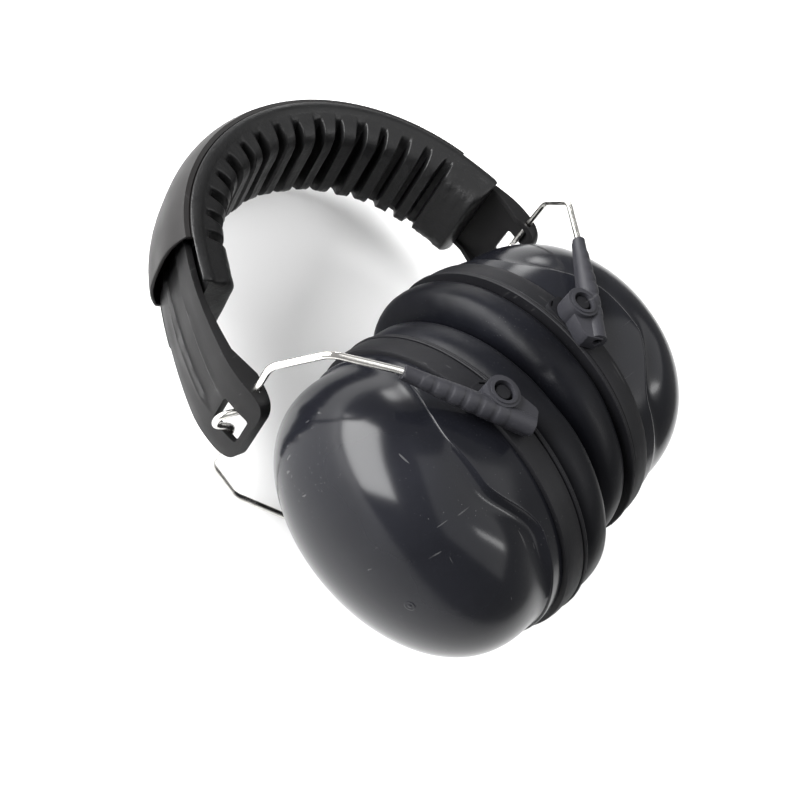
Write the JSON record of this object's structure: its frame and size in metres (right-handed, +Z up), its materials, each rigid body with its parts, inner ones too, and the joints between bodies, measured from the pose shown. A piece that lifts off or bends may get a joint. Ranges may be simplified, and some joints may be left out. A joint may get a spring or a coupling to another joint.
{
  "type": "earmuffs",
  "caption": "Over-head hearing protection earmuffs: padded headband, slider arms, wire bails and two gloss cups on tilting clips.",
  "frame": {"origin": "centre of the bounding box at its base, where the earmuffs rest lying on their rear side", "axes": "+X from the left cup to the right cup, +Y from the cups towards the top of the headband, +Z up"},
  "size_m": [0.1476, 0.179, 0.0996],
  "materials": {
    "shell_plastic": "satin moulded plastic",
    "arm_plastic": "satin moulded plastic",
    "pad_foam": "semi-gloss skinned foam",
    "steel_wire": "polished spring wire",
    "clip_plastic": "matte moulded plastic",
    "cup_gloss": "polished moulded plastic",
    "base_plastic": "matte moulded plastic",
    "vinyl": "soft vinyl skin",
    "foam": "open-cell foam"
  },
  "bodies": {
    "headband": {"headband_shell": "shell_plastic", "headband_liner": "arm_plastic", "headband_pad": "pad_foam"},
    "arm_left": {"slider_arm_left": "arm_plastic"},
    "bail_left": {"wire_bail_left": "steel_wire", "clip_left_front": "clip_plastic", "clip_left_rear": "clip_plastic"},
    "cup_left": {"cup_shell_left": "cup_gloss", "cup_base_left": "base_plastic", "seal_plate_left": "base_plastic", "ear_cushion_left": "vinyl", "foam_liner_left": "foam"},
    "arm_right": {"slider_arm_right": "arm_plastic"},
    "bail_right": {"wire_bail_right": "steel_wire", "clip_right_front": "clip_plastic", "clip_right_rear": "clip_plastic"},
    "cup_right": {"cup_shell_right": "cup_gloss", "cup_base_right": "base_plastic", "seal_plate_right": "base_plastic", "ear_cushion_right": "vinyl", "foam_liner_right": "foam"}
  },
  "joints": [
    {"name": "slider_left", "type": "hinge", "parent": "headband", "child": "arm_left", "pos_m": [0.08704, -0.0279, 0.04932], "axis": [0, 0.2673, 0.9636], "range_deg": [-6.45, 0]},
    {"name": "bail_swing_left", "type": "hinge", "parent": "arm_left", "child": "bail_left", "pos_m": [-0.06484, 0.00686, 0.03968], "axis": [0, -0.2673, -0.9636], "range_deg": [0, 25]},
    {"name": "cup_tilt_left", "type": "hinge", "parent": "bail_left", "child": "cup_left", "pos_m": [-0.02684, -0.03583, 0.05152], "axis": [0, 0.2673, 0.9636], "range_deg": [-4.5, 4.5]},
    {"name": "slider_right", "type": "hinge", "parent": "headband", "child": "arm_right", "pos_m": [-0.166, -0.02747, 0.0492], "axis": [0, -0.2673, -0.9636], "range_deg": [0, 4.3]},
    {"name": "bail_swing_right", "type": "hinge", "parent": "arm_right", "child": "bail_right", "pos_m": [0.06627, 0.00718, 0.03959], "axis": [0, 0.2673, 0.9636], "range_deg": [0, 25]},
    {"name": "cup_tilt_right", "type": "hinge", "parent": "bail_right", "child": "cup_right", "pos_m": [0.0217, -0.02913, 0.04966], "axis": [0, 0.2673, 0.9636], "range_deg": [-4.5, 4.5]}
  ]
}
